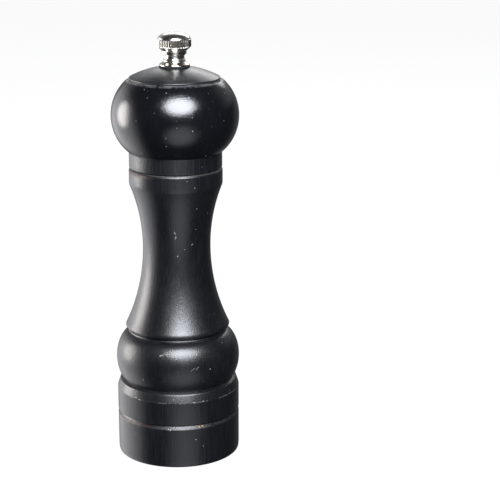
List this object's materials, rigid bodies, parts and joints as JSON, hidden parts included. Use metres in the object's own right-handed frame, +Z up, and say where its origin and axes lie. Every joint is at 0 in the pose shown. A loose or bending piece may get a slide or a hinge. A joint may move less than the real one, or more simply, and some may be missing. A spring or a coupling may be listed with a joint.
{
  "type": "pepper mill",
  "caption": "Turned black wooden hand mill with a waisted body, round head, ribbed metal adjusting knob and a spring-loaded conical burr grinder in its foot.",
  "frame": {"origin": "centre of the foot, on the surface the mill stands on", "axes": "+Z up along the mill's axis to the knob; +X along the bar across the foot"},
  "size_m": [0.0596, 0.0596, 0.2026],
  "materials": {
    "lacquered_wood": "black stain under clear satin to gloss lacquer, worn at the edges",
    "chrome": "polished",
    "fibre": "matte",
    "zinc_steel": "bright zinc plate",
    "aluminium": "drawn",
    "burr_steel": "hardened, grey",
    "spring_steel": "bright wire and strip",
    "nylon": "moulded, matte"
  },
  "bodies": {
    "body": {"body": "lacquered_wood", "burr_housing": "nylon", "stator": "burr_steel", "housing_screw_1": "zinc_steel", "housing_screw_2": "zinc_steel", "retainer_bar": "zinc_steel", "bar_screw_1": "zinc_steel", "bar_screw_2": "zinc_steel", "thrust_washer": "zinc_steel"},
    "turning_seat": {"spring_seat": "zinc_steel", "spring": "spring_steel"},
    "shaft": {"drive_shaft": "aluminium", "rotor": "burr_steel", "shaft_clip": "spring_steel"},
    "head": {"head": "lacquered_wood", "drive_plate": "zinc_steel", "drive_plate_screw_1": "zinc_steel", "drive_plate_screw_2": "zinc_steel"},
    "washer": {"knob_washer": "fibre"},
    "knob": {"knob": "chrome"}
  },
  "joints": [
    {"name": "head_turn", "type": "hinge", "parent": "body", "child": "turning_seat", "pos_m": [0, 0, 0.0255], "axis": [0, 0, 1], "continuous": true},
    {"name": "shaft_rise", "type": "slide", "parent": "turning_seat", "child": "shaft", "axis": [0, 0, 1], "range_m": [0, 0.0012], "deforming": ["spring"]},
    {"name": "head_lift", "type": "slide", "parent": "turning_seat", "child": "head", "axis": [0, 0, 1], "range_m": [0, 0.1]},
    {"name": "knob_lift", "type": "slide", "parent": "head", "child": "washer", "axis": [0, 0, 1], "range_m": [0, 0.03]},
    {"name": "knob_turn", "type": "hinge", "parent": "washer", "child": "knob", "pos_m": [0, 0, 0.1874], "axis": [0, 0, 1], "range_deg": [-540, 0]}
  ],
  "couplings": [
    {"joint": "knob_turn", "follows": "shaft_rise", "rad_per_m": -7854}
  ]
}
